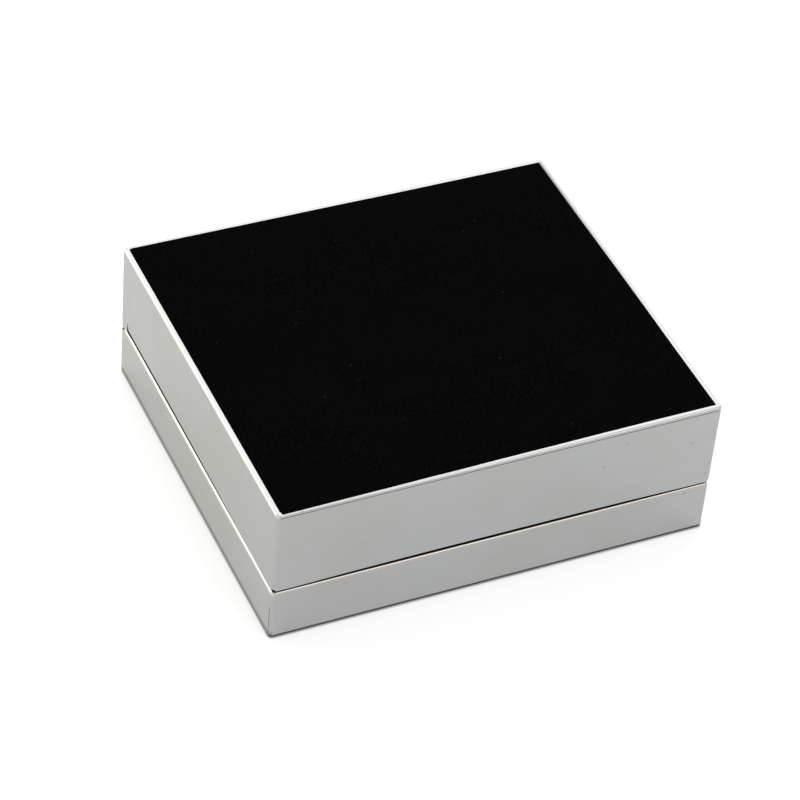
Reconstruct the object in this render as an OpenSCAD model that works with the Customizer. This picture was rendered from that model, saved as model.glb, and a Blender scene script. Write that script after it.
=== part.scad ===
// Cufflink display box: two silver-plated sheet shells joined by a barrel hinge along
// the back, a black velvet panel let into the lid, and velvet cushion rolls inside.
// Origin: middle of the underside. +X right, +Y towards the hinge, +Z up. Millimetres.

/* [Box] */
// Outer width, left to right
box_w = 100; // [85:1:130]
// Outer depth, front to back
box_d = 88.6; // [75:0.2:100]
// Height of the base shell, from its lower edge to the seam
base_h = 12.85; // [12:0.05:18]
// Height of the lid shell, from the seam to its top rim
lid_h = 21.35; // [18:0.05:30]
// Gap between the two shells at the seam
seam_gap = 0.5; // [0.1:0.05:0.9]
// Further rise of the lid's side edges, from the front corners to the slit near the hinge
side_rise = 1.35; // [0.1:0.05:2]

/* [Plated sheet] */
// Thickness of the sheet
sheet_t = 0.8; // [0.7:0.05:0.85]
// Outer radius of the four upright corners
corner_r = 0.9; // [0.9:0.1:2]
// Width of the folded rim round the velvet panel
rim_w = 1.1; // [0.95:0.05:1.2]
// Height of the folded rim, inside the lid
rim_h = 1.4; // [1:0.1:2]
// Radius of the rim's outer edge
rim_edge_r = 0.5; // [0.2:0.05:0.6]
// Height of the fine open line below the rim, along the front and the back
fold_line_h = 0.14; // [0.08:0.02:0.3]
// Depth of that line
fold_line_depth = 0.4; // [0.1:0.05:0.5]
// Distance of its upper edge below the top of the rim
fold_line_drop = 0.7; // [0.65:0.05:1.2]
// Radius of the lid's lower edge
lid_lip_r = 0.2; // [0.1:0.05:0.4]
// Radius of the upper edge of the base
base_lip_r = 0.65; // [0.2:0.05:0.65]
// Radius of the lower edge of the base
base_foot_r = 0.3; // [0.2:0.05:0.6]
// Rise of the finger relief in the middle of the lid's front edge
relief_h = 0.55; // [0.1:0.05:1]
// Distance from each front corner to the end of the relief
relief_end = 1; // [1:0.5:20]
// Width of the open sheet joint at each corner of the base
joint_w = 0.14; // [0.05:0.01:0.3]
// Height of that joint
joint_h = 8; // [4:0.5:10]
// Depth of that joint
joint_depth = 0.4; // [0.1:0.05:0.5]
// Radius of the small nick that the folds leave at the lid's front corners
nick_r = 0.6; // [0.2:0.05:0.7]

/* [Hinge] */
// Outer radius of the hinge barrel
barrel_r = 0.9; // [0.8:0.05:1.1]
// Distance of the barrel's ends from the side faces
barrel_inset = 0.3; // [0.1:0.1:0.6]
// Radius of the hinge pin
pin_r = 0.4; // [0.3:0.05:0.45]
// Radial running clearance of the pin in the knuckles
pin_clear = 0.05; // [0.03:0.01:0.08]
// Number of knuckles, counting both leaves
knuckles = 9; // [5:2:13]
// Gap between neighbouring knuckles
knuckle_gap = 0.2; // [0.1:0.05:0.4]
// Gap between the barrel and the shells and linings round it
barrel_room = 0.3; // [0.2:0.05:0.4]
// Thickness of each hinge leaf
leaf_t = 0.5; // [0.4:0.05:0.6]
// Height of each hinge leaf, from the hinge line
leaf_h = 7; // [4:0.5:8]
// Angle at which the lid comes to rest when it is opened
lid_open = 95; // [85:1:100]
// Distance from the back face to the slit where the folded sheet ends on the lid's sides
slit_back = 3.8; // [3:0.1:6]
// Width of that slit at the seam
slit_w = 0.9; // [0.3:0.1:1.5]
// Height above the seam at which it closes
slit_h = 3.2; // [2:0.1:5]

/* [Lid panel] */
// Gap round the velvet panel inside the rim
panel_gap = 0.05; // [0.05:0.05:0.2]
// How far the velvet stands above the rim at its edge
panel_proud = 0.2; // [0.1:0.05:0.5]
// Further rise of the velvet towards the middle of the lid
panel_crown = 0.5; // [0.2:0.1:1.2]
// Thickness of the board behind the velvet
board_t = 1.2; // [0.8:0.1:2]
// Thickness of the ceiling pad at its edge
pad_t = 2; // [1:0.1:3]
// Further drop of the ceiling pad towards its middle
pad_crown = 0.9; // [0.3:0.1:1.5]

/* [Linings] */
// Thickness of the velvet-covered wall linings
lining_t = 1.2; // [0.8:0.1:1.6]
// Gap behind and between linings
lining_gap = 0.2; // [0.1:0.05:0.4]
// How far the base linings stand above the seam, as the lip the lid closes over
lip_h = 2.2; // [1:0.1:3]
// Gap between that lip and the lid linings
lip_clear = 0.5; // [0.3:0.1:1]
// Thickness of the floor board
floor_t = 1.2; // [0.8:0.1:1.6]

/* [Cushion rolls] */
// Number of rolls, front to back
rolls = 5; // [5:1:7]
// Gap between neighbouring rolls
roll_gap = 0.2; // [0.1:0.05:0.5]
// How far the rolls stand above the seam
roll_rise = 3.2; // [2:0.1:5]
// Radius of the rounded ends of each roll
roll_end_r = 3; // [1.5:0.5:5]
// Thickness of the velvet wrapped round each roll
velvet_t = 0.5; // [0.3:0.1:0.8]

/* [Underside] */
// Thickness of the felt that the box stands on
felt_t = 0.3; // [0.3:0.1:1]
// Distance from the shell's outer face to the felt's edge
felt_inset = 2; // [1:0.5:10]

/* [Hidden] */

$fn = 64;
through = 1;       // how far a cut runs past the face it opens
arc_steps = 16;    // straight steps in a shallow crown or relief arc
crown_power = 2;   // a crown curves like a parabola
relief_power = 3;  // the lid's lower edges are flatter in the middle and steeper at the ends
stop_play = 4;     // degrees left between the open lid and the metal stop
seat_gap = 0.1;    // fitting gap round a board, pad or roll that is glued in
joint_turn = 8;    // degrees from the side face, round the corner, to the open joint
nick_turn = 45;    // degrees from the front face, round the corner, to the nick

// Heights of the main levels
base_z = felt_t;
seam_z = base_z + base_h;
rim_z = seam_z + lid_h;
lid_z = seam_z + seam_gap / 2;
floor_z = base_z + sheet_t;
floor_top = floor_z + floor_t;
ledge_z = rim_z - rim_h;
board_z = ledge_z - board_t;

// Planes of the inner faces
wall_x = box_w / 2 - sheet_t;
wall_y = box_d / 2 - sheet_t;
lining_x = wall_x - lining_gap - lining_t;
lining_front_y = -wall_y + lining_gap + lining_t;

// Centres of the upright corner arcs
corner_x = box_w / 2 - corner_r;
corner_y = box_d / 2 - corner_r;

// Hinge line, and how far both back walls stop short of it
hinge_y = box_d / 2 - barrel_r;
wall_stop = barrel_r * tan((lid_open + stop_play) / 2);
notch_r = barrel_r + barrel_room;
barrel_l = box_w - 2 * barrel_inset;
knuckle_l = (barrel_l - (knuckles - 1) * knuckle_gap) / knuckles;
leaf_y = wall_y - leaf_t;

// Space between the front and back linings, the back ones clear of the barrel
lining_back_y = hinge_y - notch_r - lining_t;
inner_d = lining_back_y - lining_front_y;
inner_mid_y = (lining_back_y + lining_front_y) / 2;

roll_pitch = inner_d / rolls;
roll_w = roll_pitch - roll_gap;
roll_h = seam_z + roll_rise - floor_top;
roll_l = 2 * (lining_x - seat_gap);

silver = "#c3c3bf";
black_velvet = "#0d0d0e";
grey_board = "#8d8a82";
foam = "#3a3a3c";

// What a rounded edge takes off a square one, for a corner at the top right
module edge_cut(r) {
    difference() {
        translate([-r, -r]) square(r + through);
        translate([-r, -r]) circle(r = r);
    }
}

// Upright section through a wall. x = corner_r is the outer face.
module wall_outline(h, foot_r, top_r) {
    difference() {
        translate([corner_r - sheet_t, 0]) square([sheet_t, h]);
        translate([corner_r, h]) edge_cut(top_r);
        translate([corner_r, 0]) mirror([0, 1]) edge_cut(foot_r);
    }
}

// Carries such a section round the four sides and corners of the box
module round_the_box() {
    for (turn = [0:3]) {
        run = turn % 2 == 0 ? corner_x : corner_y;
        out = turn % 2 == 0 ? corner_y : corner_x;
        rotate([0, 0, 90 * turn]) {
            translate([run, out, 0]) rotate_extrude(angle = 90) children();
            translate([-run, out, 0]) rotate([90, 0, 90]) linear_extrude(2 * run) children();
        }
    }
}

// Plan of the space inside the sheet, or past its inner faces by lap, with rounded corners
module inside_outline(lap) {
    x = wall_x + lap;
    y = wall_y + lap;
    r = corner_r - sheet_t;
    translate([r - x, -y]) square([2 * (x - r), 2 * y]);
    translate([-x, r - y]) square([2 * x, 2 * (y - r)]);
    for (sx = [-1, 1]) for (sy = [-1, 1]) translate([sx * (x - r), sy * (y - r)]) circle(r = r);
}

// Room that both shells leave for the barrel, as a (y, z) outline about the hinge line
module hinge_room_outline() {
    circle(r = notch_r);
    translate([0, -wall_stop]) square([barrel_r + through, 2 * wall_stop]);
}

module hinge_room() {
    translate([-box_w / 2 - through, hinge_y, seam_z]) rotate([90, 0, 90])
        linear_extrude(box_w + 2 * through) hinge_room_outline();
}

// Shallow arc over a span, as points from end to end
function arc_points(span, rise, power) =
    [for (i = [0:arc_steps]) let (u = 2 * i / arc_steps - 1)
        [u * span / 2, rise * (1 - pow(abs(u), power))]];

// Plate with one crowned face, the crown running along Y
module crowned_bar(l, d, t, crown) {
    translate([-l / 2, 0, 0]) rotate([90, 0, 90]) linear_extrude(l)
        polygon(concat([[d / 2, 0], [-d / 2, 0]],
            [for (p = arc_points(d, crown, crown_power)) [p[0], p[1] + t]]));
}

// Open joint where the folded sheet meets at the upright corners of the base
module corner_joints() {
    for (sx = [-1, 1]) for (sy = [-1, 1])
        translate([sx * corner_x, sy * corner_y, base_z + base_foot_r])
            rotate([0, 0, sx * sy * joint_turn])
                translate([sx > 0 ? corner_r - joint_depth : -corner_r - through, -joint_w / 2, 0])
                    cube([joint_depth + through, joint_w, joint_h]);
}

module base_shell() {
    color(silver) difference() {
        translate([0, 0, base_z]) {
            round_the_box() wall_outline(base_h - seam_gap / 2, base_foot_r, base_lip_r);
            linear_extrude(sheet_t) inside_outline((sheet_t - base_foot_r) / 2);
        }
        hinge_room();
        corner_joints();
    }
}

module base_felt() {
    w = box_w - 2 * felt_inset;
    d = box_d - 2 * felt_inset;
    color(black_velvet) translate([-w / 2, -d / 2, 0]) cube([w, d, felt_t]);
}

// Board that fills a shell from wall to wall
module inner_board(z, t) {
    color(grey_board) translate([0, 0, z]) linear_extrude(t) inside_outline(-seat_gap);
}

module floor_board() { inner_board(floor_z, floor_t); }

// Front or back lining, running from corner to corner
module long_lining(y, z, h) {
    color(black_velvet) translate([-corner_x, y, z]) cube([2 * corner_x, lining_t, h]);
}

// Left (-1) or right (+1) lining, fitted between the long ones
module short_lining(side, z, h) {
    color(black_velvet)
        translate([side * (lining_x + lining_t / 2) - lining_t / 2,
                   lining_front_y + lining_gap / 2, z])
            cube([lining_t, inner_d - lining_gap, h]);
}

base_lining_h = seam_z + lip_h - floor_top;
module base_lining_front() { long_lining(lining_front_y - lining_t, floor_top, base_lining_h); }
module base_lining_back() { long_lining(lining_back_y, floor_top, base_lining_h); }
module base_lining_left() { short_lining(-1, floor_top, base_lining_h); }
module base_lining_right() { short_lining(1, floor_top, base_lining_h); }

// Section of a cushion roll: upright sides under a half-round top
module roll_outline(inset) {
    r = roll_w / 2 - inset;
    translate([-r, inset]) square([2 * r, roll_h - inset - roll_w / 2]);
    translate([0, roll_h - roll_w / 2]) circle(r = r);
}

// The same roll seen from the front: its top corners are rounded
module roll_side_outline(inset) {
    x = roll_l / 2 - inset;
    r = roll_end_r - inset;
    translate([-x, inset]) square([2 * x, roll_h - 2 * inset - r]);
    translate([r - x, inset]) square([2 * (x - r), roll_h - 2 * inset]);
    for (s = [-1, 1]) translate([s * (x - r), roll_h - inset - r]) circle(r = r);
}

module roll_form(inset) {
    intersection() {
        translate([-roll_l / 2, 0, 0]) rotate([90, 0, 90]) linear_extrude(roll_l)
            roll_outline(inset);
        translate([0, roll_w / 2, 0]) rotate([90, 0, 0]) linear_extrude(roll_w)
            roll_side_outline(inset);
    }
}

module roll_at(i) {
    translate([0, lining_front_y + (i - 0.5) * roll_pitch, floor_top]) children();
}

module roll_cover(i) {
    color(black_velvet) roll_at(i) difference() {
        roll_form(0);
        roll_form(velvet_t);
    }
}

module roll_core(i) {
    color(foam) roll_at(i) roll_form(velvet_t);
}

function knuckle_x(k) = -barrel_l / 2 + k * (knuckle_l + knuckle_gap);

// One hinge leaf: side -1 hangs from the hinge line, +1 stands on it. Its knuckles are
// every second one along the barrel, starting at number first.
module hinge_leaf(side, first) {
    color(silver) difference() {
        union() {
            translate([-corner_x, leaf_y, side > 0 ? seam_z + wall_stop : seam_z - leaf_h])
                cube([2 * corner_x, leaf_t, leaf_h - wall_stop]);
            for (k = [first:2:knuckles - 1]) {
                x0 = max(knuckle_x(k), -corner_x);
                x1 = min(knuckle_x(k) + knuckle_l, corner_x);
                web_h = wall_stop + leaf_t;
                translate([knuckle_x(k), hinge_y, seam_z]) rotate([0, 90, 0])
                    cylinder(r = barrel_r, h = knuckle_l);
                translate([x0, leaf_y, side > 0 ? seam_z : seam_z - web_h])
                    cube([x1 - x0, leaf_t, web_h]);
            }
        }
        translate([-box_w / 2, hinge_y, seam_z]) rotate([0, 90, 0])
            cylinder(r = pin_r + pin_clear, h = box_w);
    }
}

module base_hinge_leaf() { hinge_leaf(-1, 0); }
module lid_hinge_leaf() { hinge_leaf(1, 1); }

module hinge_pin() {
    color(silver) translate([-barrel_l / 2, hinge_y, seam_z]) rotate([0, 90, 0])
        cylinder(r = pin_r, h = barrel_l);
}

// Shallow arc cut into the lid's lower front edge, for a fingertip
module finger_relief() {
    span = box_w - 2 * relief_end;
    translate([0, -wall_y + through, lid_z]) rotate([90, 0, 0])
        linear_extrude(sheet_t + 2 * through)
            polygon(concat([[span / 2, -through], [-span / 2, -through]],
                arc_points(span, relief_h, relief_power)));
}

module corner_nicks() {
    for (s = [-1, 1]) translate([s * corner_x, -corner_y, lid_z])
        rotate([0, 0, -90 + s * nick_turn]) rotate([0, 90, 0])
            cylinder(r = nick_r, h = corner_r + through);
}

// Slit in both sides of the lid, upright at the back and slanted at the front
module side_slits() {
    front = -slit_back - slit_w;
    translate([-box_w / 2 - through, box_d / 2, seam_z]) rotate([90, 0, 90])
        linear_extrude(box_w + 2 * through)
            polygon([[-slit_back, 0], [front, 0], [front, seam_gap / 2 + side_rise],
                     [-slit_back, slit_h]]);
}

// Slow rise of the lid's side edges, from the front corners to the slits
module side_curves() {
    end_y = box_d / 2 - slit_back - slit_w;
    run = end_y + corner_y;
    for (side = [0, 1]) mirror([side, 0, 0])
        translate([-box_w / 2 - through, end_y, lid_z]) rotate([90, 0, 90])
            linear_extrude(through + sheet_t + seat_gap)
                polygon(concat([[0, -through], [-run, -through]],
                    [for (p = arc_points(2 * run, side_rise, relief_power)) if (p[0] <= 0) p]));
}

// Fine lines where the wall was folded over the rim, open from corner to corner
module fold_lines() {
    for (turn = [0, 180]) rotate([0, 0, turn])
        translate([-corner_x, -box_d / 2 - through, rim_z - fold_line_drop - fold_line_h])
            cube([2 * corner_x, fold_line_depth + through, fold_line_h]);
}

// Flange that the wall's upper edge is folded into, round the velvet panel
module rim() {
    translate([0, 0, ledge_z]) linear_extrude(rim_h) difference() {
        inside_outline((sheet_t - rim_edge_r) / 2);
        square([box_w - 2 * rim_w, box_d - 2 * rim_w], center = true);
    }
}

module lid_shell() {
    color(silver) difference() {
        union() {
            translate([0, 0, lid_z]) round_the_box()
                wall_outline(rim_z - lid_z, lid_lip_r, rim_edge_r);
            rim();
        }
        hinge_room();
        side_slits();
        finger_relief();
        side_curves();
        fold_lines();
        corner_nicks();
    }
}

module lid_board() { inner_board(board_z, board_t); }

module lid_velvet_panel() {
    w = box_w - 2 * (rim_w + panel_gap);
    d = box_d - 2 * (rim_w + panel_gap);
    color(black_velvet) translate([0, 0, ledge_z])
        crowned_bar(w, d, rim_h + panel_proud, panel_crown);
}

module lid_ceiling_pad() {
    w = 2 * (lining_x - seat_gap);
    d = inner_d - 2 * seat_gap;
    color(black_velvet) translate([0, inner_mid_y, board_z]) rotate([180, 0, 0]) intersection() {
        crowned_bar(w, d, pad_t, pad_crown);
        rotate([0, 0, 90]) crowned_bar(d, w, pad_t, pad_crown);
    }
}

lid_lining_z = seam_z + lip_h + lip_clear;
lid_lining_h = board_z - lid_lining_z;
module lid_lining_front() { long_lining(lining_front_y - lining_t, lid_lining_z, lid_lining_h); }
module lid_lining_back() { long_lining(lining_back_y, lid_lining_z, lid_lining_h); }
module lid_lining_left() { short_lining(-1, lid_lining_z, lid_lining_h); }
module lid_lining_right() { short_lining(1, lid_lining_z, lid_lining_h); }

base_shell();
base_felt();
floor_board();
base_lining_front();
base_lining_back();
base_lining_left();
base_lining_right();
for (i = [1:rolls]) roll_cover(i);
for (i = [1:rolls]) roll_core(i);
base_hinge_leaf();
hinge_pin();
lid_shell();
lid_board();
lid_velvet_panel();
lid_ceiling_pad();
lid_lining_front();
lid_lining_back();
lid_lining_left();
lid_lining_right();
lid_hinge_leaf();
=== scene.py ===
"""Looks of a silver-plated cufflink box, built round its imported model.

Sizes in the classes are millimetres, and become metres where a mesh or a node takes them.
"""

import logging
import math
from abc import ABC, abstractmethod
from dataclasses import dataclass, field
from enum import Enum
from typing import Any, Callable

import bpy
import numpy as np
from mathutils import Matrix, Vector, noise


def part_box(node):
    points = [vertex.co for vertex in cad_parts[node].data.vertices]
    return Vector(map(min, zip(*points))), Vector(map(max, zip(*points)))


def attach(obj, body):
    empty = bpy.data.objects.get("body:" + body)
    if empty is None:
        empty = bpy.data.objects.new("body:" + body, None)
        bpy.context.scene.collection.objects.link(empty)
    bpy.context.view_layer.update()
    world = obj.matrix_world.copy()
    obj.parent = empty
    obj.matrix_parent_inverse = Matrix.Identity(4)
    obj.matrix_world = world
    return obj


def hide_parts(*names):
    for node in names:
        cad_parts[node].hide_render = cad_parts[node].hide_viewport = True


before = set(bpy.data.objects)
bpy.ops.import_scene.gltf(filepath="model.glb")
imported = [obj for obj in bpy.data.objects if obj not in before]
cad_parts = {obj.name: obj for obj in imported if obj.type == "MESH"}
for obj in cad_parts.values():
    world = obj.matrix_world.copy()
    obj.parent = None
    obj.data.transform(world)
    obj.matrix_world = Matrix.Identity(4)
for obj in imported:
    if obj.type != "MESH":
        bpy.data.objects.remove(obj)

Colour = tuple[float, float, float, float]
Span = tuple[float, float]  # where a mask has none and where it has most, or least and most
Faces = list[tuple[int, ...]]
Shape = tuple[np.ndarray, Faces]  # a surface's points, one row each, and its faces
Piece = bpy.types.Object
Tree = bpy.types.NodeTree
Socket = bpy.types.NodeSocket

MM = 0.001  # metres in a millimetre
TINY = 1e-9  # keeps a length that something is divided by off zero
WHOLE: Span = (0.0, 1.0)
IMAGE_SIDE_PX = 800  # the picture is square

log = logging.getLogger("cufflink_box")


class Body(Enum):
    """The two bodies that pieces ride on."""

    BASE = "base"
    LID = "lid"


class Slot(Enum):
    """The record's material slots, one for each stuff that new pieces are made of."""

    VELVET = "velvet"
    FELT = "felt"
    FOAM = "foam"


class Wall(Enum):
    """The four walls that linings stand against."""

    FRONT = "front"
    BACK = "back"
    LEFT = "left"
    RIGHT = "right"


def linear(srgb: str) -> Colour:
    """Turns a colour as written into the light that it stands for.

    Args:
        srgb: The colour as "#rrggbb".

    Returns:
        The linear red, green and blue, and an alpha of 1.
    """
    parts = [int(srgb[i : i + 2], 16) / 255 for i in (1, 3, 5)]
    r, g, b = [c / 12.92 if c <= 0.04045 else ((c + 0.055) / 1.055) ** 2.4 for c in parts]
    return (r, g, b, 1.0)


def per_metre(size_mm: float) -> float:
    """The texture scale at which one feature is size_mm across."""
    return 1.0 / (size_mm * MM)


def metres(span_mm: Span) -> Span:
    """A span of places along an axis, turned from millimetres to metres."""
    return (span_mm[0] * MM, span_mm[1] * MM)


def add_node(
    tree: Tree,
    kind: str,
    settings: dict[str | int, Any] | None = None,
    links: dict[str | int, Socket] | None = None,
) -> bpy.types.Node:
    """Adds one node with its settings and links.

    Args:
        tree: The node tree that gets it.
        kind: The shader node's type, such as "TexNoise".
        settings: Values for the node's own properties or, by name or number, its inputs.
        links: Sockets that feed its inputs, by the input's name or number.

    Returns:
        The new node.
    """
    node = tree.nodes.new(f"ShaderNode{kind}")
    for name, value in (settings or {}).items():
        if isinstance(name, str) and hasattr(node, name):
            setattr(node, name, value)
        else:
            node.inputs[name].default_value = value
    for name, socket in (links or {}).items():
        tree.links.new(socket, node.inputs[name])
    return node


# ---- finishes


@dataclass(frozen=True)
class Mottle:
    """A cloudy pattern: the size of its patches, and how fine and torn their edges are."""

    size_mm: float
    detail: float = 2.0
    roughness: float = 0.5
    tearing: float = 0.0

    def settings(self) -> dict[str | int, Any]:
        """What the noise texture takes to draw it."""
        return {"Scale": per_metre(self.size_mm), "Detail": self.detail,
                "Roughness": self.roughness, "Distortion": self.tearing}


class Finish(ABC):
    """What a surface is made of and how it was worked."""

    title: str

    def material(self) -> bpy.types.Material:
        """Gives the finish's material, which is made on first use and shared after that.

        Returns:
            The material.
        """
        made = bpy.data.materials.get(self.title)
        if made is None:
            made = bpy.data.materials.new(self.title)
            made.use_nodes = True
            tree = made.node_tree
            tree.nodes.clear()
            add_node(tree, "OutputMaterial", {}, {"Surface": self.shader(tree)})
        return made

    @abstractmethod
    def shader(self, tree: Tree) -> Socket:
        """Builds the finish's nodes.

        Args:
            tree: The material's empty tree.

        Returns:
            The finish's shader.
        """

    def dress(self, piece: Piece) -> Piece:
        """Gives the whole piece this finish.

        Args:
            piece: A new piece or a CAD node's object.

        Returns:
            The same piece.
        """
        piece.data.materials.clear()
        piece.data.materials.append(self.material())
        return piece


@dataclass(frozen=True)
class SilverPlate(Finish):
    """Silver electroplated on folded brass sheet, then buffed.

    It mirrors the room softly. Handling leaves faint smudges, a breath of warm tarnish,
    specks and hairlines. Painted highlight lightens the upper side edges, and painted shade
    darkens the foot and edges that face down. The folds leave the sheet very slightly wavy.
    """

    title: str = "silver_plate_buffed"
    bright: str = "#aaabac"
    glancing: str = "#f4f4f1"  # the plate seen nearly edge on is a little duller and warmer
    specular: float = 0.1
    smudges: Mottle = Mottle(9.0, 5.0, 0.6, 0.6)
    smudge_span: Span = (0.4, 0.75)
    smudge_roughness: Span = (0.13, 0.22)  # of clean and of smudged plate
    tarnish: str = "#a9a9a5"
    tarnish_clouds: Mottle = Mottle(22.0, 3.0)
    tarnish_span: Span = (0.35, 0.7)
    hairlines: Mottle = Mottle(0.35)  # real ones are near 0.02, drawn coarser so that they show
    hairline_squeeze: float = 0.03  # of the pattern along the walls, which draws it out
    hairline_span: Span = (0.2, 0.8)
    hairline_tone: Span = (0.98, 1.02)
    speck_mm: float = 8.0
    speck_span: Span = (0.08, 0.03)  # shares of the distance between two specks
    speck_share: float = 0.16
    waves: Mottle = Mottle(30.0, 1.0)
    wave_rise_mm: float = 0.012
    side_span: Span = (0.15, 0.45)  # how far a surface faces left or right
    upper_span: Span = (0.04, 0.2)  # how far it faces up
    under_span: Span = (-0.08, -0.5)
    side_edge_highlight: str = "#cccac6"  # painted highlight on the upper side edges
    lip_tint: str = "#b3a08c"  # painted warm tint of the highlight on the base's upper edge
    lip_tint_heights_mm: Span = (13.3, 13.2)
    lip_tint_share: float = 0.35
    lip_tint_kept_off_sides: float = 0.75
    dark_strip: str = "#787573"  # a darker strip along the rim's inner edge, back right
    dark_strip_limits_mm: tuple[tuple[str, Span], ...] = (
        ("X", (48.8, 48.9)), ("X", (49.5, 49.2)), ("Y", (-20.0, 38.0)), ("Y", (43.3, 43.2)),
        ("Z", (34.0, 34.1)),
    )
    # Painted shade: the foot and faces turned down are darkened, standing for the dark contact
    # shadow that the plate would mirror.
    painted_shade: str = "#30302e"
    under_share: float = 0.85
    foot_heights_mm: Span = (1.1, 0.8)
    foot_share: float = 0.9
    side_foot_heights_mm: Span = (2.1, 0.8)  # the painted shade also reaches higher, and paler, on both sides
    side_foot_share: float = 0.5

    def shader(self, tree: Tree) -> Socket:
        """Builds the buffed plate's nodes.

        Args:
            tree: The material's empty tree.

        Returns:
            The plate's shader.
        """
        given = add_node(tree, "TexCoord").outputs
        place = given["Object"]
        where, facing = (
            add_node(tree, "SeparateXYZ", {}, {"Vector": given[name]}).outputs
            for name in ("Object", "Normal")
        )
        sideways = add_node(
            tree, "Math", {"operation": "ABSOLUTE"}, {0: facing["X"]},
        ).outputs[0]
        drawn_out = add_node(
            tree, "Mapping",
            {"Scale": (self.hairline_squeeze, self.hairline_squeeze, 1.0)}, {"Vector": place},
        ).outputs["Vector"]
        smudge, tarnish, hairline, wave = (
            add_node(tree, "TexNoise", mottle.settings(), {"Vector": at}).outputs["Fac"]
            for mottle, at in (
                (self.smudges, place), (self.tarnish_clouds, place),
                (self.hairlines, drawn_out), (self.waves, place),
            )
        )
        speck = add_node(
            tree, "TexVoronoi", {"Scale": per_metre(self.speck_mm)}, {"Vector": place},
        ).outputs["Distance"]

        rough, warm, streak, spot, side, upper, under, lip, foot, side_foot, *dark_strip_limits = (
            add_node(
                tree, "MapRange",
                {"From Min": none, "From Max": full, "To Min": least, "To Max": most},
                {"Value": value},
            ).outputs["Result"]
            for value, (none, full), (least, most) in (
                (smudge, self.smudge_span, self.smudge_roughness),
                (tarnish, self.tarnish_span, WHOLE),
                (hairline, self.hairline_span, self.hairline_tone),
                (speck, self.speck_span, WHOLE),
                (sideways, self.side_span, WHOLE),
                (facing["Z"], self.upper_span, WHOLE),
                (facing["Z"], self.under_span, (0.0, self.under_share)),
                (where["Z"], metres(self.lip_tint_heights_mm), (0.0, self.lip_tint_share)),
                (where["Z"], metres(self.foot_heights_mm), (0.0, self.foot_share)),
                (where["Z"], metres(self.side_foot_heights_mm), (0.0, self.side_foot_share)),
                *((where[axis], metres(span), WHOLE) for axis, span in self.dark_strip_limits_mm),
            )
        )
        unspotted, off_sides = (
            add_node(
                tree, "Math", {"operation": "MULTIPLY_ADD", 1: -share, 2: 1.0}, {0: mask},
            ).outputs[0]
            for mask, share in ((spot, self.speck_share), (side, self.lip_tint_kept_off_sides))
        )
        tone, shade_share = (
            add_node(
                tree, "Math", {"operation": "MULTIPLY"}, {0: first, 1: second},
            ).outputs[0]
            for first, second in ((streak, unspotted), (side_foot, side))
        )
        # the painted shade's share: along the foot, higher on the sides, and on faces turned down
        for mask in (foot, under):
            shade_share = add_node(
                tree, "Math", {"operation": "MAXIMUM"}, {0: mask, 1: shade_share},
            ).outputs[0]
        # where painted shade lies, the plate is also less metallic
        unshaded = add_node(
            tree, "Math", {"operation": "SUBTRACT", 0: 1.0}, {1: shade_share},
        ).outputs[0]

        plate = add_node(
            tree, "Mix",
            {"data_type": "RGBA", 6: linear(self.bright), 7: linear(self.tarnish)}, {0: warm},
        ).outputs[2]
        colour = add_node(
            tree, "VectorMath", {"operation": "SCALE"}, {0: plate, "Scale": tone},
        ).outputs["Vector"]
        for tint, limits in (
            # painted highlight: the upper side edges are lightened so that their rounding shows a
            # wider bright band
            (self.side_edge_highlight, (side, upper)),
            # painted warm tint of the highlight on the base's upper edge
            (self.lip_tint, (lip, off_sides, upper)),
            (self.dark_strip, dark_strip_limits),
            # painted shade along the foot and under
            (self.painted_shade, (shade_share,)),
        ):
            share = limits[0]
            for limit in limits[1:]:
                share = add_node(
                    tree, "Math", {"operation": "MULTIPLY"}, {0: share, 1: limit},
                ).outputs[0]
            colour = add_node(
                tree, "Mix", {"data_type": "RGBA", 7: linear(tint)},
                {0: share, 6: colour},
            ).outputs[2]
        wavy = add_node(
            tree, "Bump", {"Strength": 1.0, "Distance": self.wave_rise_mm * MM},
            {"Height": wave},
        ).outputs["Normal"]
        return add_node(
            tree, "BsdfPrincipled",
            {"Specular IOR Level": self.specular, "Specular Tint": linear(self.glancing)},
            {"Base Color": colour, "Metallic": unshaded, "Roughness": rough, "Normal": wavy},
        ).outputs["BSDF"]


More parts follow.
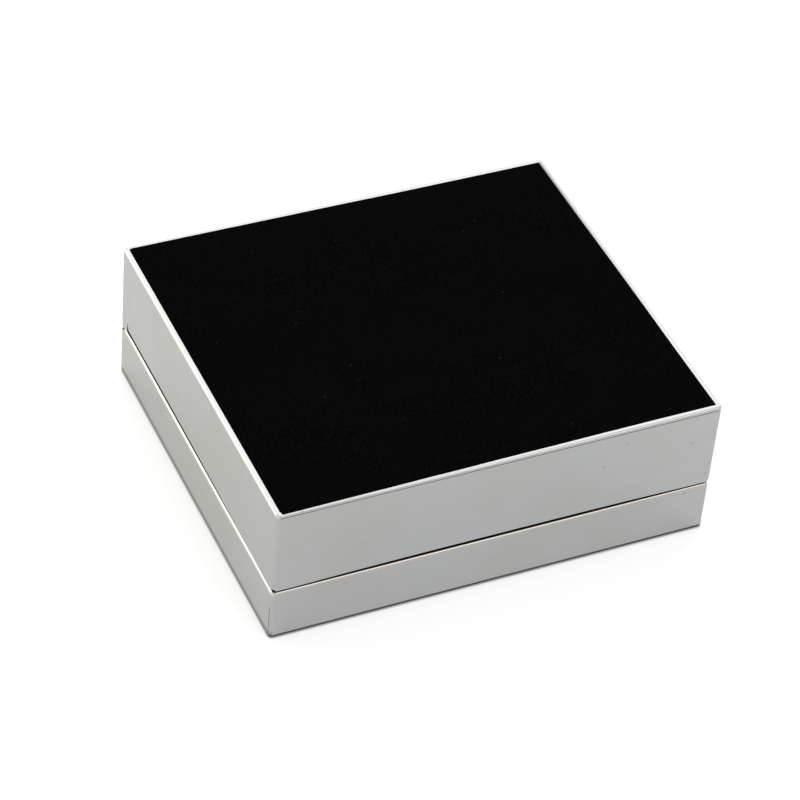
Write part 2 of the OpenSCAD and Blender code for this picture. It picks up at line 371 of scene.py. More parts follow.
@dataclass(frozen=True)
class BlackVelvet(Finish):
    """Black cotton velvet, woven with a short cut pile and brushed flat.

    It swallows nearly all light. What shows is the pile's fine grain, soft patches where
    the nap lies another way, and a few specks of lint.
    """

    title: str = "black_velvet_cut_pile"
    deep: str = "#000000"
    tip: str = "#0e0e0e"
    pile: Mottle = Mottle(0.4, 3.0, 0.65)  # real tufts are near 0.1, coarser so that they show
    pile_span: Span = (0.3, 0.7)
    pile_strength: float = 0.7
    pile_rise_mm: float = 0.1
    nap: str = "#0a0a0a"
    nap_patches: Mottle = Mottle(16.0, 4.0, tearing=0.8)
    nap_span: Span = (0.45, 0.75)
    nap_share: float = 0.5
    lint: str = "#24211f"
    lint_mm: float = 4.5
    lint_span: Span = (0.07, 0.03)  # shares of the distance between two specks
    lint_left_out: float = 0.55  # share of the specks' places that stay empty
    roughness: float = 1.0
    specular: float = 0.01
    sheen: float = 0.003
    sheen_roughness: float = 0.35

    def shader(self, tree: Tree) -> Socket:
        """Builds the velvet's nodes.

        Args:
            tree: The material's empty tree.

        Returns:
            The velvet's shader.
        """
        place = add_node(tree, "TexCoord").outputs["Object"]
        pile, nap = (
            add_node(tree, "TexNoise", mottle.settings(), {"Vector": place}).outputs["Fac"]
            for mottle in (self.pile, self.nap_patches)
        )
        lint = add_node(
            tree, "TexVoronoi", {"Scale": per_metre(self.lint_mm)}, {"Vector": place},
        ).outputs
        tuft, patch, near = (
            add_node(
                tree, "MapRange", {"From Min": none, "From Max": full, "To Max": most},
                {"Value": value},
            ).outputs["Result"]
            for value, (none, full), most in (
                (pile, self.pile_span, 1.0),
                (nap, self.nap_span, self.nap_share),
                (lint["Distance"], self.lint_span, 1.0),
            )
        )
        some = add_node(
            tree, "SeparateColor", {}, {"Color": lint["Color"]},
        ).outputs["Red"]
        few = add_node(
            tree, "Math", {"operation": "GREATER_THAN", 1: self.lint_left_out}, {0: some},
        ).outputs[0]
        fleck = add_node(
            tree, "Math", {"operation": "MULTIPLY"}, {0: near, 1: few},
        ).outputs[0]
        colour = add_node(
            tree, "Mix",
            {"data_type": "RGBA", 6: linear(self.deep), 7: linear(self.tip)}, {0: tuft},
        ).outputs[2]
        for tint, share in ((self.nap, patch), (self.lint, fleck)):
            colour = add_node(
                tree, "Mix", {"data_type": "RGBA", 7: linear(tint)},
                {0: share, 6: colour},
            ).outputs[2]
        tufted = add_node(
            tree, "Bump",
            {"Strength": self.pile_strength, "Distance": self.pile_rise_mm * MM}, {"Height": pile},
        ).outputs["Normal"]
        return add_node(
            tree, "BsdfPrincipled",
            {"Roughness": self.roughness, "Specular IOR Level": self.specular,
             "Sheen Weight": self.sheen, "Sheen Roughness": self.sheen_roughness},
            {"Base Color": colour, "Normal": tufted},
        ).outputs["BSDF"]


@dataclass(frozen=True)
class DullFinish(Finish):
    """A dull stuff: two mingled colours whose grain also stands in slight relief."""

    dark: str
    light: str
    grain: Mottle
    relief_mm: float
    relief_strength: float
    roughness: float
    specular: float
    sheen: float = 0.0

    def pattern(self, tree: Tree, place: Socket) -> Socket:
        """Adds the grain's texture, and gives its strength at each place."""
        return add_node(
            tree, "TexNoise", self.grain.settings(), {"Vector": place},
        ).outputs["Fac"]

    def shader(self, tree: Tree) -> Socket:
        """Builds the stuff's nodes.

        Args:
            tree: The material's empty tree.

        Returns:
            The stuff's shader.
        """
        pattern = self.pattern(tree, add_node(tree, "TexCoord").outputs["Object"])
        colour = add_node(
            tree, "Mix",
            {"data_type": "RGBA", 6: linear(self.dark), 7: linear(self.light)}, {0: pattern},
        ).outputs[2]
        relief = add_node(
            tree, "Bump",
            {"Strength": self.relief_strength, "Distance": self.relief_mm * MM},
            {"Height": pattern},
        ).outputs["Normal"]
        return add_node(
            tree, "BsdfPrincipled",
            {"Roughness": self.roughness, "Specular IOR Level": self.specular,
             "Sheen Weight": self.sheen},
            {"Base Color": colour, "Normal": relief},
        ).outputs["BSDF"]


@dataclass(frozen=True)
class BlackFelt(DullFinish):
    """Thin black wool felt, pressed from loose fibres.

    Matt and even, with a mottle of tangled fibres and no weave.
    """

    title: str = "black_wool_felt"
    dark: str = "#0e0e0f"
    light: str = "#232324"
    grain: Mottle = Mottle(0.8, 6.0, 0.7, 2.0)
    relief_mm: float = 0.06
    relief_strength: float = 0.6
    roughness: float = 0.95
    specular: float = 0.1
    sheen: float = 0.05


@dataclass(frozen=True)
class GreyBoard(DullFinish):
    """Grey chipboard, rolled from waste paper.

    Dull, with a fine fleck of darker and lighter fibres.
    """

    title: str = "grey_chipboard"
    dark: str = "#807d75"
    light: str = "#98958c"
    grain: Mottle = Mottle(0.9, 5.0, 0.75)
    relief_mm: float = 0.03
    relief_strength: float = 0.5
    roughness: float = 0.85
    specular: float = 0.3


@dataclass(frozen=True)
class DarkFoam(DullFinish):
    """Dark polyurethane foam, blown and cut to shape.

    Matt, with open cells that look like fine dark pits.
    """

    title: str = "dark_polyurethane_foam"
    dark: str = "#232325"
    light: str = "#3e3e40"
    grain: Mottle = Mottle(0.6)  # the size of a cell
    relief_mm: float = 0.15
    relief_strength: float = 0.8
    roughness: float = 0.95
    specular: float = 0.2

    def pattern(self, tree: Tree, place: Socket) -> Socket:
        """Adds the cells' texture, and gives the distance from their middles."""
        return add_node(
            tree, "TexVoronoi", {"Scale": per_metre(self.grain.size_mm)},
            {"Vector": place},
        ).outputs["Distance"]


PLATE = SilverPlate()
LID_VELVET = BlackVelvet()
# The cushions' velvet isn't rubbed flat by handling, so its pile catches more light. Its
# colours are also lighter than the lid's velvet: painted light that lets their shape show.
CUSHION_VELVET = BlackVelvet(
    title="black_velvet_plush_pile", deep="#070707", tip="#121213", nap="#161617",
    pile_rise_mm=0.14, sheen=0.12, sheen_roughness=0.4,
)
FELT = BlackFelt()
BOARD = GreyBoard()
FOAM = DarkFoam()


# ---- mesh building


def stations(low: float, high: float, edge: float, edge_steps: int, step: float) -> np.ndarray:
    """Places of the mesh lines along one side of a block, closer together near its ends.

    Args:
        low: Start of the side.
        high: End of the side.
        edge: Length of the rounded zone at each end.
        edge_steps: Steps in each of those zones.
        step: Longest step between them.

    Returns:
        The places, from low to high.
    """
    inner = max(1, math.ceil((high - low - 2 * edge) / step))
    return np.concatenate([
        np.linspace(low, low + edge, edge_steps + 1)[:-1],
        np.linspace(low + edge, high - edge, inner + 1),
        np.linspace(high - edge, high, edge_steps + 1)[1:],
    ])


def block_faces(xs: np.ndarray, ys: np.ndarray, zs: np.ndarray) -> Shape:
    """The closed surface of a block, as quads between the given places.

    Args:
        xs: Places along X.
        ys: Places along Y.
        zs: Places along Z.

    Returns:
        The points and the faces, all facing outwards.
    """
    index: dict[tuple[int, int, int], int] = {}

    def at(i: int, j: int, k: int) -> int:
        """Number of the point at one crossing of the mesh lines, given out on first use."""
        return index.setdefault((i, j, k), len(index))

    nx, ny, nz = len(xs) - 1, len(ys) - 1, len(zs) - 1
    faces: Faces = []
    for i in range(nx):
        for j in range(ny):
            faces.append((at(i, j, 0), at(i, j + 1, 0), at(i + 1, j + 1, 0), at(i + 1, j, 0)))
            faces.append((at(i, j, nz), at(i + 1, j, nz), at(i + 1, j + 1, nz), at(i, j + 1, nz)))
    for i in range(nx):
        for k in range(nz):
            faces.append((at(i, 0, k), at(i + 1, 0, k), at(i + 1, 0, k + 1), at(i, 0, k + 1)))
            faces.append((at(i, ny, k), at(i, ny, k + 1), at(i + 1, ny, k + 1), at(i + 1, ny, k)))
    for j in range(ny):
        for k in range(nz):
            faces.append((at(0, j, k), at(0, j, k + 1), at(0, j + 1, k + 1), at(0, j + 1, k)))
            faces.append((at(nx, j, k), at(nx, j + 1, k), at(nx, j + 1, k + 1), at(nx, j, k + 1)))
    return np.array([(xs[i], ys[j], zs[k]) for i, j, k in index]), faces


def rounded_block(
    low: np.ndarray,
    high: np.ndarray,
    radius: float,
    edge_steps: tuple[int, int, int],
    step: float,
) -> Shape:
    """The closed surface of a block with rounded edges and corners.

    Args:
        low: The block's lowest corner.
        high: The block's highest corner.
        radius: Radius of the rounding.
        edge_steps: Steps in each rounded zone, along X, Y and Z.
        step: Longest step between the rounded zones.

    Returns:
        The points and the faces, all facing outwards.
    """
    points, faces = block_faces(
        *(stations(low[i], high[i], radius, edge_steps[i], step) for i in range(3))
    )
    core = np.clip(points, low + radius, high - radius)
    out = points - core
    length = np.linalg.norm(out, axis=1, keepdims=True)
    return core + out / np.maximum(length, TINY) * radius, faces


def ripple(points: np.ndarray, size: float, rise: float, start: float = 0.0) -> np.ndarray:
    """Smooth unevenness at each point, the same on every run.

    Args:
        points: Places on the piece.
        size: Distance over which it changes.
        rise: Its greatest height either way.
        start: Where in the pattern the piece begins, so that like pieces differ.

    Returns:
        One height for each point.
    """
    return np.array([noise.noise(Vector(p) / size + Vector((start, 0, 0))) for p in points]) * rise


def mesh_object(name: str, points: np.ndarray, faces: Faces) -> Piece:
    """Makes a mesh object in the scene.

    Args:
        name: The object's name.
        points: Its points, in metres.
        faces: Its faces.

    Returns:
        The new object.
    """
    mesh = bpy.data.meshes.new(name)
    mesh.from_pydata(points.tolist(), [], faces)
    made = bpy.data.objects.new(name, mesh)
    bpy.context.scene.collection.objects.link(made)
    return made


def make_piece(name: str, points: np.ndarray, faces: Faces, finish: Finish) -> Piece:
    """Makes a piece from millimetre points.

    Args:
        name: The piece's name.
        points: Its points, in millimetres in the row frame.
        faces: Its faces.
        finish: What it is made of.

    Returns:
        The new piece, smooth shaded and dressed.
    """
    piece = mesh_object(name, points * MM, faces)
    piece.data.update()
    piece.data.shade_smooth()
    return finish.dress(piece)


@dataclass(frozen=True)
class Inflation:
    """Lets a padded piece's cloth swell under pressure from inside, held where it is glued.

    The cloth is worked at twenty times its size, because the solver is made for larger
    pieces.
    """

    enlargement: float = 20.0
    voxel: float = 1.4
    pressure: float = 4.0
    quality: int = 5
    frames: int = 20

    def swell(
        self, shape: Shape, glued: Callable[[np.ndarray], np.ndarray], cap: float
    ) -> Shape:
        """Swells a closed surface.

        Args:
            shape: Its points, in millimetres, and its faces.
            glued: Tells which of the given points can't move.
            cap: The most that a point may move.

        Returns:
            The swollen surface's points and faces, evenly spaced and subdivided once.
        """
        points, faces = shape
        scene = bpy.context.scene
        size = MM * self.enlargement
        work = mesh_object("swelling", points * size, faces)
        even = work.modifiers.new("even", "REMESH")
        even.mode, even.voxel_size = "VOXEL", self.voxel * size
        self.settle_modifiers(work)
        start = self.places(work.data)
        held = work.vertex_groups.new(name="glued")
        held.add(np.flatnonzero(glued(start / size)).tolist(), 1.0, "REPLACE")
        cloth = work.modifiers.new("cloth", "CLOTH")
        cloth.settings.quality = self.quality
        cloth.settings.use_pressure = True
        cloth.settings.uniform_pressure_force = self.pressure
        cloth.settings.effector_weights.gravity = 0.0
        cloth.settings.vertex_group_mass = held.name
        cloth.point_cache.frame_start, cloth.point_cache.frame_end = 1, self.frames
        for number in range(1, self.frames + 1):
            scene.frame_set(number)
        self.settle_modifiers(work)
        scene.frame_set(1)
        moved = self.places(work.data) - start
        length = np.linalg.norm(moved, axis=1, keepdims=True)
        kept = moved * np.minimum(1.0, cap * size / np.maximum(length, TINY))
        work.data.vertices.foreach_set("co", (start + kept).ravel())
        work.modifiers.new("fine", "SUBSURF").levels = 1
        self.settle_modifiers(work)
        swollen = self.places(work.data) / size
        quads = [tuple(face.vertices) for face in work.data.polygons]
        bpy.data.objects.remove(work)
        return swollen, quads

    def places(self, mesh: bpy.types.Mesh) -> np.ndarray:
        """Reads where a mesh's points are.

        Args:
            mesh: The mesh.

        Returns:
            Its points, one row each.
        """
        flat = np.empty(3 * len(mesh.vertices))
        mesh.vertices.foreach_get("co", flat)
        return flat.reshape(-1, 3)

    def settle_modifiers(self, work: Piece) -> None:
        """Turns what an object's modifiers give into its own mesh, and removes them.

        Args:
            work: The object.
        """
        graph = bpy.context.evaluated_depsgraph_get()
        result = bpy.data.meshes.new_from_object(work.evaluated_get(graph))
        work.modifiers.clear()
        work.data = result


def node_box(node: str) -> tuple[np.ndarray, np.ndarray]:
    """Lowest and highest corner of a CAD node, in millimetres."""
    low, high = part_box(node)
    return np.array(low) / MM, np.array(high) / MM


def settle(piece: Piece, body: Body, slot: Slot, *nodes: str) -> Piece:
    """Puts a finished piece on its body in place of the CAD nodes that it stands for.

    Args:
        piece: The finished piece.
        body: The body it rides on.
        slot: The record's slot for its stuff; not used.
        *nodes: The CAD nodes that it replaces.

    Returns:
        The piece.
    """
    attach(piece, body.value)
    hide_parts(*nodes)
    return piece


# ---- sub-assemblies


class Assembly(ABC):
    """A group of pieces that is made and dressed together."""

    @abstractmethod
    def build(self) -> list[Piece]:
        """Builds and dresses the pieces, and returns them."""

    def dress_nodes(self, finish: Finish, *nodes: str) -> list[Piece]:
        """Gives CAD nodes whose shape is right a finish, and returns them."""
        return [finish.dress(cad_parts[node]) for node in nodes]


@dataclass
class WallLinings(Assembly):
    """Velvet-wrapped card linings on the four walls of one shell."""

    body: Body
    fold_radius: float = 0.5
    fold_steps: tuple[int, int, int] = (4, 4, 4)
    step: float = 1.5
    pile_rise: float = 0.035
    pile_length: float = 3.0
    pile_start: float = 7.0  # how far on in the pile's pattern each next lining begins

    def build(self) -> list[Piece]:
        """Builds the four linings, and returns them."""
        return [self.lining(wall, number) for number, wall in enumerate(Wall)]

    def lining(self, wall: Wall, number: int) -> Piece:
        """Builds one lining, its velvet folded round the card's edges.

        Args:
            wall: The wall it stands against.
            number: Its place among the four, which sets its unevenness apart.

        Returns:
            The lining.
        """
        node = f"{self.body.value}_lining_{wall.value}"
        low, high = node_box(node)
        points, faces = rounded_block(low, high, self.fold_radius, self.fold_steps, self.step)
        thin = int(np.argmin(high - low))
        lean = np.where(points[:, thin] > (low[thin] + high[thin]) / 2, -1.0, 1.0)
        points[:, thin] += lean * (
            self.pile_rise
            + ripple(points, self.pile_length, self.pile_rise, self.pile_start * number)
        )
        piece = make_piece(f"{node}_velvet", points, faces, CUSHION_VELVET)
        return settle(piece, self.body, Slot.VELVET, node)


@dataclass
class BaseTray(Assembly):
    """Plated tray with its floor board, felt underside and wall linings."""

    felt_edge_radius: float = 0.1
    felt_edge_steps: tuple[int, int, int] = (2, 2, 2)
    felt_step: float = 1.2
    felt_wander: float = 0.12
    felt_wander_length: float = 5.0
    felt_wander_from: float = 0.98  # share of the half width where the cut edge's wander starts
    linings: WallLinings = field(default_factory=lambda: WallLinings(Body.BASE))

    def build(self) -> list[Piece]:
        """Dresses the tray and builds what lines it.

        Returns:
            The pieces.
        """
        shell = self.dress_nodes(PLATE, "base_shell")
        board = self.dress_nodes(BOARD, "floor_board")
        return shell + board + [self.felt()] + self.linings.build()

    def felt(self) -> Piece:
        """Builds the felt sheet under the tray, its cut edge a little uneven.

        Returns:
            The felt.
        """
        low, high = node_box("base_felt")
        points, faces = rounded_block(
            low, high, self.felt_edge_radius, self.felt_edge_steps, self.felt_step
        )
        flat = high - low
        middle = (low + high) / 2
        for axis in (0, 1):
            reach = np.abs(points[:, axis] - middle[axis]) / (flat[axis] / 2)
            side = np.sign(points[:, axis] - middle[axis])
            share = np.clip((reach - self.felt_wander_from) / (1 - self.felt_wander_from), 0, 1)
            points[:, axis] -= side * share * (
                self.felt_wander + ripple(points, self.felt_wander_length, self.felt_wander)
            )
        piece = make_piece("base_felt_sheet", points, faces, FELT)
        settle(piece, Body.BASE, Slot.FELT, "base_felt")
        return piece


@dataclass
class CushionRolls(Assembly):
    """Foam bars wrapped in velvet, side by side, that grip cufflinks between them."""

    count: int = 5
    arc_steps: int = 28
    side_steps: int = 7
    bottom_steps: int = 14
    length_step: float = 1.2
    end_radius: float = 3.0
    end_steps: int = 7
    end_narrowing: float = 0.35  # how far a side draws in where the top drops a millimetre
    cap_rings: int = 6
    cover_thickness: float = 0.5
    foam_gap: float = 0.05
    slack: float = 0.35  # how far inside its space the velvet starts before it swells
    glued_height: float = 1.0
    inflation: Inflation = Inflation()
    sag: float = 0.1
    sag_length: float = 17.0
    sag_start: float = 11.0  # how far on in the pattern each next roll begins
    sag_fade: float = 4.0  # from where the top starts to curve, down the sides
    gather: float = 0.18
    gather_reach: float = 9.0
    gathers: int = 9
    gather_wander: float = 1.6  # radians round the roll
    gather_wander_length: float = 6.0
    gather_start: float = 5.0
    fill: float = 0.85

    def build(self) -> list[Piece]:
        """Builds every roll's cover and core.

        Returns:
            The covers and cores.
        """
        made = []
        for number in range(1, self.count + 1):
            made += [self.cover(number), self.core(number)]
        return made

    def rings(self, low: np.ndarray, high: np.ndarray, inset: float) -> Shape:
        """The closed surface of one roll: upright sides under a half-round top.

        Args:
            low: Lowest corner of the roll's box.
            high: Highest corner of the roll's box.
            inset: How far inside that box the surface lies.

        Returns:
            The points and the faces.
        """
        middle = (low + high) / 2
        half = (high[1] - low[1]) / 2 - inset  # of the width
        bottom, top = low[2] + inset, high[2] - inset
        spring = top - half
        end = self.end_radius - inset
        straight = (high[0] - low[0]) / 2 - inset - end
        turn = np.linspace(0, math.pi / 2, self.end_steps + 1)
        right = [(straight + end * math.sin(a), end * (1 - math.cos(a))) for a in turn[1:]]
        left = [(-x, drop) for x, drop in reversed(right)]
        steps = max(2, math.ceil(2 * straight / self.length_step))
        sections = left + [(x, 0.0) for x in np.linspace(-straight, straight, steps + 1)] + right

        side, under = self.side_steps, self.bottom_steps
        outline = [(half, bottom + (spring - bottom) * i / side) for i in range(side)]
        arc = np.linspace(0, math.pi, self.arc_steps + 1)
        outline += [(half * math.cos(a), spring + half * math.sin(a)) for a in arc]
        outline += [(-half, spring + (bottom - spring) * (i + 1) / side) for i in range(side)]
        outline += [(-half + 2 * half * (i + 1) / under, bottom) for i in range(under - 1)]
        ring = np.array(outline)
        around = len(ring)
        rows = []
        for x, drop in sections:
            squeeze = (half - self.end_narrowing * drop) / half
            rise = (top - drop - bottom) / (top - bottom)
            rows.append(np.column_stack([
                np.full(around, middle[0] + x),
                middle[1] + ring[:, 0] * squeeze,
                bottom + (ring[:, 1] - bottom) * rise,
            ]))
        faces: Faces = []

        def band(here: int, there: int, forward: bool = True) -> None:
            """Joins two rings with a band of quads.

            Args:
                here: Number of the first ring's first point.
                there: Number of the second ring's first point.
                forward: Whether the quads face out as they are numbered.
            """
            for i in range(around):
                j = (i + 1) % around
                quad = (here + i, here + j, there + j, there + i)
                faces.append(quad if forward else quad[::-1])

        for number in range(len(rows) - 1):
            band(number * around, (number + 1) * around)
        points = np.vstack(rows)
        for last, forward in ((0, False), (len(rows) - 1, True)):
            rim, here = rows[last], last * around
            centre = rim.mean(axis=0)
            for step in range(1, self.cap_rings):
                there = len(points)
                points = np.vstack([points, centre + (rim - centre) * (1 - step / self.cap_rings)])
                band(here, there, forward)
                here = there
            for i in range(around):
                corner = (here + i, here + (i + 1) % around, len(points))
                faces.append(corner if forward else corner[::-1])
            points = np.vstack([points, centre])
        return points, faces

    def crease(
        self, points: np.ndarray, low: np.ndarray, high: np.ndarray, number: int
    ) -> np.ndarray:
        """Lets the velvet sag a little along the roll and gather towards its ends.

        Args:
            points: The swollen surface.
            low: Lowest corner of the roll's space.
            high: Highest corner of the roll's space.
            number: The roll's number, which sets its folds apart.

        Returns:
            The moved points, none outside the roll's space.
        """
        middle, half = (low + high) / 2, (high - low) / 2
        spring = high[2] - half[1]
        points = np.clip(points, low, high)
        x, y, z = points.T
        around = np.hypot(y - middle[1], np.maximum(z - spring, 0))
        fit = np.where(z > spring, np.minimum(1, half[1] / around), 1.0)
        y[:] = middle[1] + (y - middle[1]) * fit
        z[:] = spring + (z - spring) * fit
        out = np.column_stack([np.zeros(len(points)), y - middle[1], np.maximum(z - spring, 0)])
        out /= np.maximum(np.linalg.norm(out, axis=1, keepdims=True), TINY)
        top = np.clip((z - spring + self.sag_fade) / self.sag_fade, 0, 1)
        half_sag = self.sag / 2
        depth = half_sag + ripple(points, self.sag_length, half_sag, self.sag_start * number)
        from_end = half[0] - np.abs(x - middle[0])
        near_end = np.clip(1 - from_end / self.gather_reach, 0, 1) ** 2
        angle = np.arctan2(z - spring, y - middle[1])
        shift = ripple(
            points, self.gather_wander_length, self.gather_wander, self.gather_start * number
        )
        fold = 0.5 + 0.5 * np.sin(self.gathers * angle + shift + number)  # from 0 to 1
        depth += near_end * self.gather * fold
        return points - out * (depth * top)[:, None]

    def cover(self, number: int) -> Piece:
        """Builds one roll's velvet, outside and inside.

        Args:
            number: The roll's number, from the front.

        Returns:
            The velvet cover.
        """
        node = f"roll_cover_{number}"
        low, high = node_box(node)
        outside, outer_faces = self.inflation.swell(
            self.rings(low, high, self.slack), lambda p: p[:, 2] < low[2] + self.glued_height,
            self.slack,
        )
        outside = self.crease(outside, low, high, number)
        inside, inner_faces = self.rings(low, high, self.cover_thickness)
        start = len(outside)
        faces = outer_faces + [tuple(start + i for i in face[::-1]) for face in inner_faces]
        piece = make_piece(f"{node}_velvet", np.vstack([outside, inside]), faces, CUSHION_VELVET)
        settle(piece, Body.BASE, Slot.VELVET, node)
        return piece

    def core(self, number: int) -> Piece:
        """Builds one roll's foam bar.

        Args:
            number: The roll's number, from the front.

        Returns:
            The foam core.
        """
        low, high = node_box(f"roll_cover_{number}")
        points, faces = self.rings(low, high, self.cover_thickness + self.foam_gap)
        piece = make_piece(f"roll_core_{number}_foam", points, faces, FOAM)
        settle(piece, Body.BASE, Slot.FOAM, f"roll_core_{number}")
        return piece


@dataclass
class BarrelHinge(Assembly):
    """Two plated leaves whose knuckles interleave on one pin."""

    def build(self) -> list[Piece]:
        """Dresses the hinge, and returns its nodes."""
        return self.dress_nodes(PLATE, "base_hinge_leaf", "lid_hinge_leaf", "hinge_pin")


@dataclass
class LidCase(Assembly):
    """Plated lid with its velvet panel on top and its padded ceiling."""

    panel_edge_radius: float = 0.45
    panel_edge_steps: tuple[int, int, int] = (5, 5, 5)
    panel_step: float = 0.8
    panel_crown: float = 0.5
    panel_unevenness: float = 0.05
    panel_wave_length: float = 14.0
    panel_pucker_length: float = 2.5
    panel_pucker_share: float = 0.3
    front_overhang: float = 1.05  # at the left end, where the velvet was glued least tightly
    back_overhang: float = 0.55
    overhang_fade: float = 1.6
    overhang_lift: float = 0.03
    overhang_least: float = 0.02  # velvet that is pushed out less than this isn't lifted
    pad_edge_radius: float = 0.9
    pad_edge_steps: tuple[int, int, int] = (4, 4, 3)
    pad_step: float = 1.2
    pad_rim: float = 2.0  # the pad's thickness along its edges
    pad_slack: float = 0.2  # how far above its rim's underside the velvet starts to swell
    pad_glued: float = 0.7
    pad_belly_power: int = 4  # the higher, the closer to the edges the belly reaches
    pad_pull: float = 0.5
    pad_pull_from: float = 0.8  # share of the half width where the sides start to draw in
    pad_unevenness: float = 0.12
    pad_wave_length: float = 11.0
    pad_fill: float = 0.7
    panel_fill: float = 0.95
    inflation: Inflation = Inflation()
    linings: WallLinings = field(default_factory=lambda: WallLinings(Body.LID))

    def build(self) -> list[Piece]:
        """Dresses the lid and builds what covers and lines it.

        Returns:
            The pieces.
        """
        shell = self.dress_nodes(PLATE, "lid_shell")
        board = self.dress_nodes(BOARD, "lid_board")
        return shell + board + [self.panel(), self.ceiling_pad()] + self.linings.build()

    def panel(self) -> Piece:
        """Builds the velvet panel inside the rim, crowned from front to back.

        Returns:
            The panel.
        """
        low, high = node_box("lid_velvet_panel")
        radius = self.panel_edge_radius
        edge_top = high[2] - self.panel_crown
        points, faces = rounded_block(
            low, np.array([high[0], high[1], edge_top]), radius, self.panel_edge_steps,
            self.panel_step,
        )
        x, y, z = points.T
        on_top = np.clip((z - (edge_top - radius)) / radius, 0, 1)
        across = (y - (low[1] + high[1]) / 2) / ((high[1] - low[1]) / 2)
        z += on_top * self.panel_crown * (1 - across**2)
        uneven = self.panel_unevenness
        z += on_top * (
            ripple(points, self.panel_wave_length, uneven)
            + ripple(points, self.panel_pucker_length, uneven * self.panel_pucker_share)
            - uneven
        )
        rim_top = node_box("lid_shell")[1][2]
        ledge = rim_top + self.overhang_lift
        leftward = np.clip(0.5 - x / (high[0] - low[0]), 0, 1)
        above = np.clip((z - rim_top) / self.overhang_lift, 0, 1)
        for edge, reach, sign in (
            (low[1], self.front_overhang, -1.0), (high[1], self.back_overhang, 1.0)
        ):
            near = np.clip(1 - np.abs(y - edge) / self.overhang_fade, 0, 1)
            shift = reach * leftward * above * near
            y += sign * shift
            z[:] = np.where(shift > self.overhang_least, np.maximum(z, ledge), z)
        piece = make_piece("lid_velvet_panel_cover", points, faces, LID_VELVET)
        settle(piece, Body.LID, Slot.VELVET, "lid_velvet_panel")
        return piece

    def ceiling_pad(self) -> Piece:
        """Builds the padded velvet ceiling, its sides drawn in between its corners.

        Returns:
            The pad.
        """
        low, high = node_box("lid_ceiling_pad")
        radius = self.pad_edge_radius
        flat_low = np.array([low[0], low[1], high[2] - self.pad_rim + self.pad_slack])
        points, faces = self.inflation.swell(
            rounded_block(flat_low, high, radius, self.pad_edge_steps, self.pad_step),
            lambda p: p[:, 2] > high[2] - self.pad_glued, self.pad_slack,
        )
        points = np.clip(points, low, high)
        across = (points - (low + high) / 2) / ((high - low) / 2)
        belly_x, belly_y = np.clip(1 - across[:, :2].T ** self.pad_belly_power, 0, 1)
        z = points[:, 2]
        below = np.clip((high[2] - radius - z) / radius, 0, 1)
        z -= below * (belly_x * belly_y) * (high[2] - self.pad_rim - low[2])
        z += below * (
            self.pad_unevenness + ripple(points, self.pad_wave_length, self.pad_unevenness)
        )
        for axis, other in ((0, 1), (1, 0)):
            near = (np.abs(across[:, axis]) - self.pad_pull_from) / (1 - self.pad_pull_from)
            pull = self.pad_pull * (1 - across[:, other] ** 2) * np.clip(near, 0, 1)
            points[:, axis] -= np.sign(across[:, axis]) * pull
        piece = make_piece("lid_ceiling_pad_velvet", points, faces, CUSHION_VELVET)
        settle(piece, Body.LID, Slot.VELVET, "lid_ceiling_pad")
        return piece


# ---- studio


@dataclass(frozen=True)
class Softbox:
    """A square-cornered diffused lamp that faces the box."""

    name: str
    azimuth: float  # degrees
    elevation: float
    distance: float
    width: float
    height: float
    radiance: float
    tint: str = "#ffffff"

    def place(self, target: Vector) -> Piece:
        """Hangs the lamp.

        Args:
            target: The point it faces, in metres.

        Returns:
            The lamp.
        """
        lamp = bpy.data.lights.new(self.name, "AREA")
        lamp.shape = "RECTANGLE"
        lamp.size, lamp.size_y = self.width * MM, self.height * MM
        lamp.energy = self.radiance * math.pi * lamp.size * lamp.size_y
        lamp.color = linear(self.tint)[:3]
        held = bpy.data.objects.new(self.name, lamp)
        held.visible_camera = False
        bpy.context.scene.collection.objects.link(held)
        away = direction(self.azimuth, self.elevation)
        held.location = target + away * self.distance * MM
        held.rotation_mode = "QUATERNION"
        held.rotation_quaternion = away.to_track_quat("Z", "Y")
        return held


def direction(azimuth: float, elevation: float) -> Vector:
    """The way from the box to something seen at that azimuth and elevation, in degrees."""
    a, e = math.radians(azimuth), math.radians(elevation)
    return Vector((math.sin(a) * math.cos(e), -math.cos(a) * math.cos(e), math.sin(e)))


@dataclass(frozen=True)
class Viewpoint:
    """Where the camera stands, as worked out from the box's straight edges."""

    azimuth: float = -27.238  # degrees
    elevation: float = 41.561
    roll: float = 5.499
    aim_right: float = -2.499
    aim_up: float = -2.674
    aim_height: float = 17.1
    distance: float = 708.166
    focal_px: float = 3296.87
    sensor: float = 36.0
    nearest: float = 10.0
    farthest: float = 50000.0

    def place(self) -> Piece:
        """Sets up the camera and makes it the scene's own.

        Returns:
            The camera.
        """
        back = direction(self.azimuth, self.elevation)
        right = Vector((0, 0, 1)).cross(back).normalized()
        up = back.cross(right)
        r = math.radians(self.roll)
        tilted_right = right * math.cos(r) + up * math.sin(r)
        tilted_up = up * math.cos(r) - right * math.sin(r)
        stand = (
            Vector((0, 0, self.aim_height)) + back * self.distance
            + tilted_right * self.aim_right + tilted_up * self.aim_up
        ) * MM
        lens = bpy.data.cameras.new("camera")
        lens.sensor_width = self.sensor
        lens.lens = self.focal_px * self.sensor / IMAGE_SIDE_PX
        lens.clip_start, lens.clip_end = self.nearest * MM, self.farthest * MM
        camera = bpy.data.objects.new("camera", lens)
        bpy.context.scene.collection.objects.link(camera)
        turned = Matrix((tilted_right, tilted_up, back)).transposed().to_4x4()
        camera.matrix_world = Matrix.Translation(stand) @ turned
        bpy.context.scene.camera = camera
        return camera


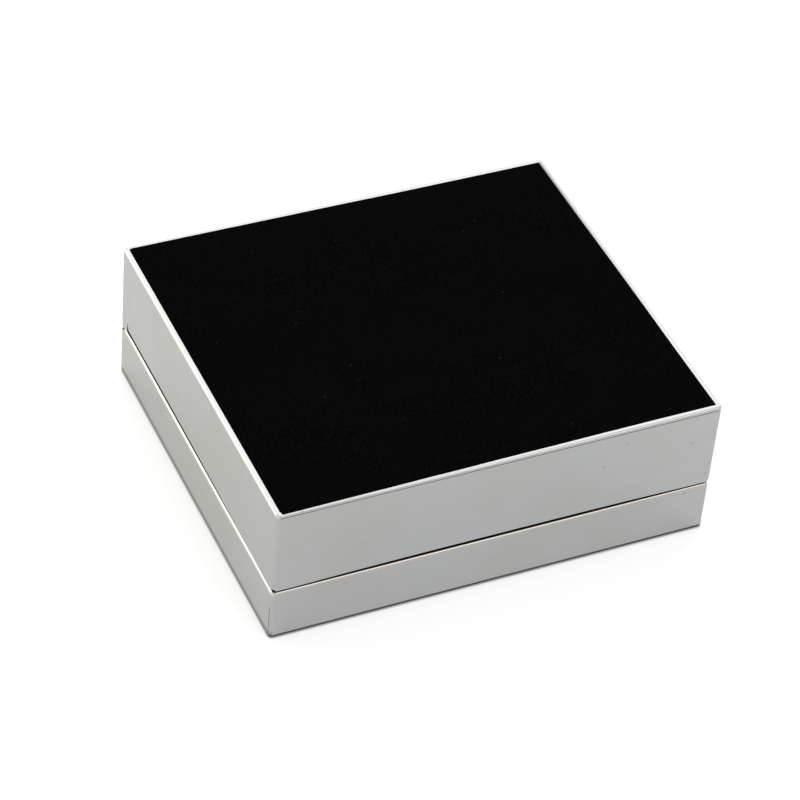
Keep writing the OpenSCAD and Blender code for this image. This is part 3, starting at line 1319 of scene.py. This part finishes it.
@dataclass(frozen=True)
class Studio:
    """Pale tabletop, pale surroundings and four soft lamps."""

    floor_half: float = 2400.0
    floor_colour: str = "#d2d2d2"
    floor_lift: float = 0.56  # light of its own that eye and mirror see on the tabletop
    contact_mm: float = 0.5  # how near the box must be for the painted contact shade under its edge
    contact_power: float = 1.3
    contact_samples: int = 16
    room_light: float = 0.5
    room_seen: float = 1.0
    aim: tuple[float, float, float] = (0.0, 0.0, 0.018)  # metres
    lamps: tuple[Softbox, ...] = (  # azimuth, elevation, distance, width, height, radiance, tint
        Softbox("lamp_top", 0.0, 88.0, 1100.0, 900.0, 900.0, 1.0),
        Softbox("lamp_back_right", 152.0, 42.0, 1100.0, 1000.0, 800.0, 1.25),
        Softbox("lamp_back_left", 212.0, 24.0, 1100.0, 1145.0, 980.0, 1.2, "#fff5e2"),
        Softbox("lamp_front_right", 30.0, 42.0, 1200.0, 800.0, 700.0, 1.15, "#fbfcff"),
    )

    def build(self) -> None:
        """Sets up the colour handling, surroundings, tabletop and lamps."""
        bpy.context.scene.view_settings.view_transform = "Standard"
        self.surroundings()
        self.tabletop()
        for lamp in self.lamps:
            lamp.place(Vector(self.aim))

    def seen_share(self, tree: Tree) -> Socket:
        """Adds the nodes that tell what eye, mirror and glass see from light.

        Args:
            tree: The tree that gets them.

        Returns:
            A share that is 1 for what they see, and 0 for light.
        """
        path = add_node(tree, "LightPath").outputs
        direct = add_node(
            tree, "Math", {"operation": "ADD"},
            {0: path["Is Camera Ray"], 1: path["Is Glossy Ray"]},
        ).outputs[0]
        return add_node(
            tree, "Math", {"operation": "ADD", "use_clamp": True},
            {0: direct, 1: path["Is Transmission Ray"]},
        ).outputs[0]

    def surroundings(self) -> None:
        """Makes the pale room round the tabletop."""
        world = bpy.data.worlds.new("pale_room")
        bpy.context.scene.world = world
        world.use_nodes = True
        tree = world.node_tree
        tree.nodes.clear()
        strength = add_node(
            tree, "MapRange", {"To Min": self.room_light, "To Max": self.room_seen},
            {"Value": self.seen_share(tree)},
        ).outputs["Result"]
        room = add_node(
            tree, "Background", {"Color": linear("#ffffff")}, {"Strength": strength},
        ).outputs["Background"]
        add_node(tree, "OutputWorld", {}, {"Surface": room})

    def tabletop(self) -> None:
        """Makes the pale tabletop that keeps the box's shadow and painted contact shade."""
        half = self.floor_half * MM
        corners = np.array([(-1, -1, 0), (1, -1, 0), (1, 1, 0), (-1, 1, 0)]) * half
        top = mesh_object("tabletop", corners, [(0, 1, 2, 3)])
        paint = bpy.data.materials.new("tabletop_matt_paint")
        paint.use_nodes = True
        tree = paint.node_tree
        tree.nodes.clear()
        # Painted contact shade: near the box, the tabletop's colour and its own light are darkened
        # towards black.
        openness = add_node(
            tree, "AmbientOcclusion",
            {"samples": self.contact_samples, "Distance": self.contact_mm * MM},
        ).outputs["AO"]
        open_share = add_node(
            tree, "Math", {"operation": "POWER", 1: self.contact_power}, {0: openness},
        ).outputs[0]
        lift = add_node(
            tree, "Math", {"operation": "MULTIPLY", 1: self.floor_lift},
            {0: self.seen_share(tree)},
        ).outputs[0]
        open_lift = add_node(
            tree, "Math", {"operation": "MULTIPLY"}, {0: lift, 1: open_share},
        ).outputs[0]
        colour = add_node(
            tree, "Mix",
            {"data_type": "RGBA", 6: linear("#000000"), 7: linear(self.floor_colour)},
            {0: open_share},
        ).outputs[2]
        matt = add_node(tree, "BsdfDiffuse", {}, {"Color": colour}).outputs["BSDF"]
        glow = add_node(
            tree, "Emission", {"Color": linear("#ffffff")}, {"Strength": open_lift},
        ).outputs["Emission"]
        both = add_node(tree, "AddShader", {}, {0: matt, 1: glow}).outputs["Shader"]
        add_node(tree, "OutputMaterial", {}, {"Surface": both})
        top.data.materials.append(paint)


def main() -> None:
    """Builds the studio and every sub-assembly."""
    logging.basicConfig(level=logging.INFO, format="%(name)s: %(message)s")
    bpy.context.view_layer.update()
    Studio().build()
    Viewpoint().place()
    for assembly in (BaseTray(), CushionRolls(), BarrelHinge(), LidCase()):
        for piece in assembly.build():
            log.info(
                "%s: %s, %d faces", type(assembly).__name__, piece.name, len(piece.data.polygons)
            )


if __name__ == "__main__":
    main()
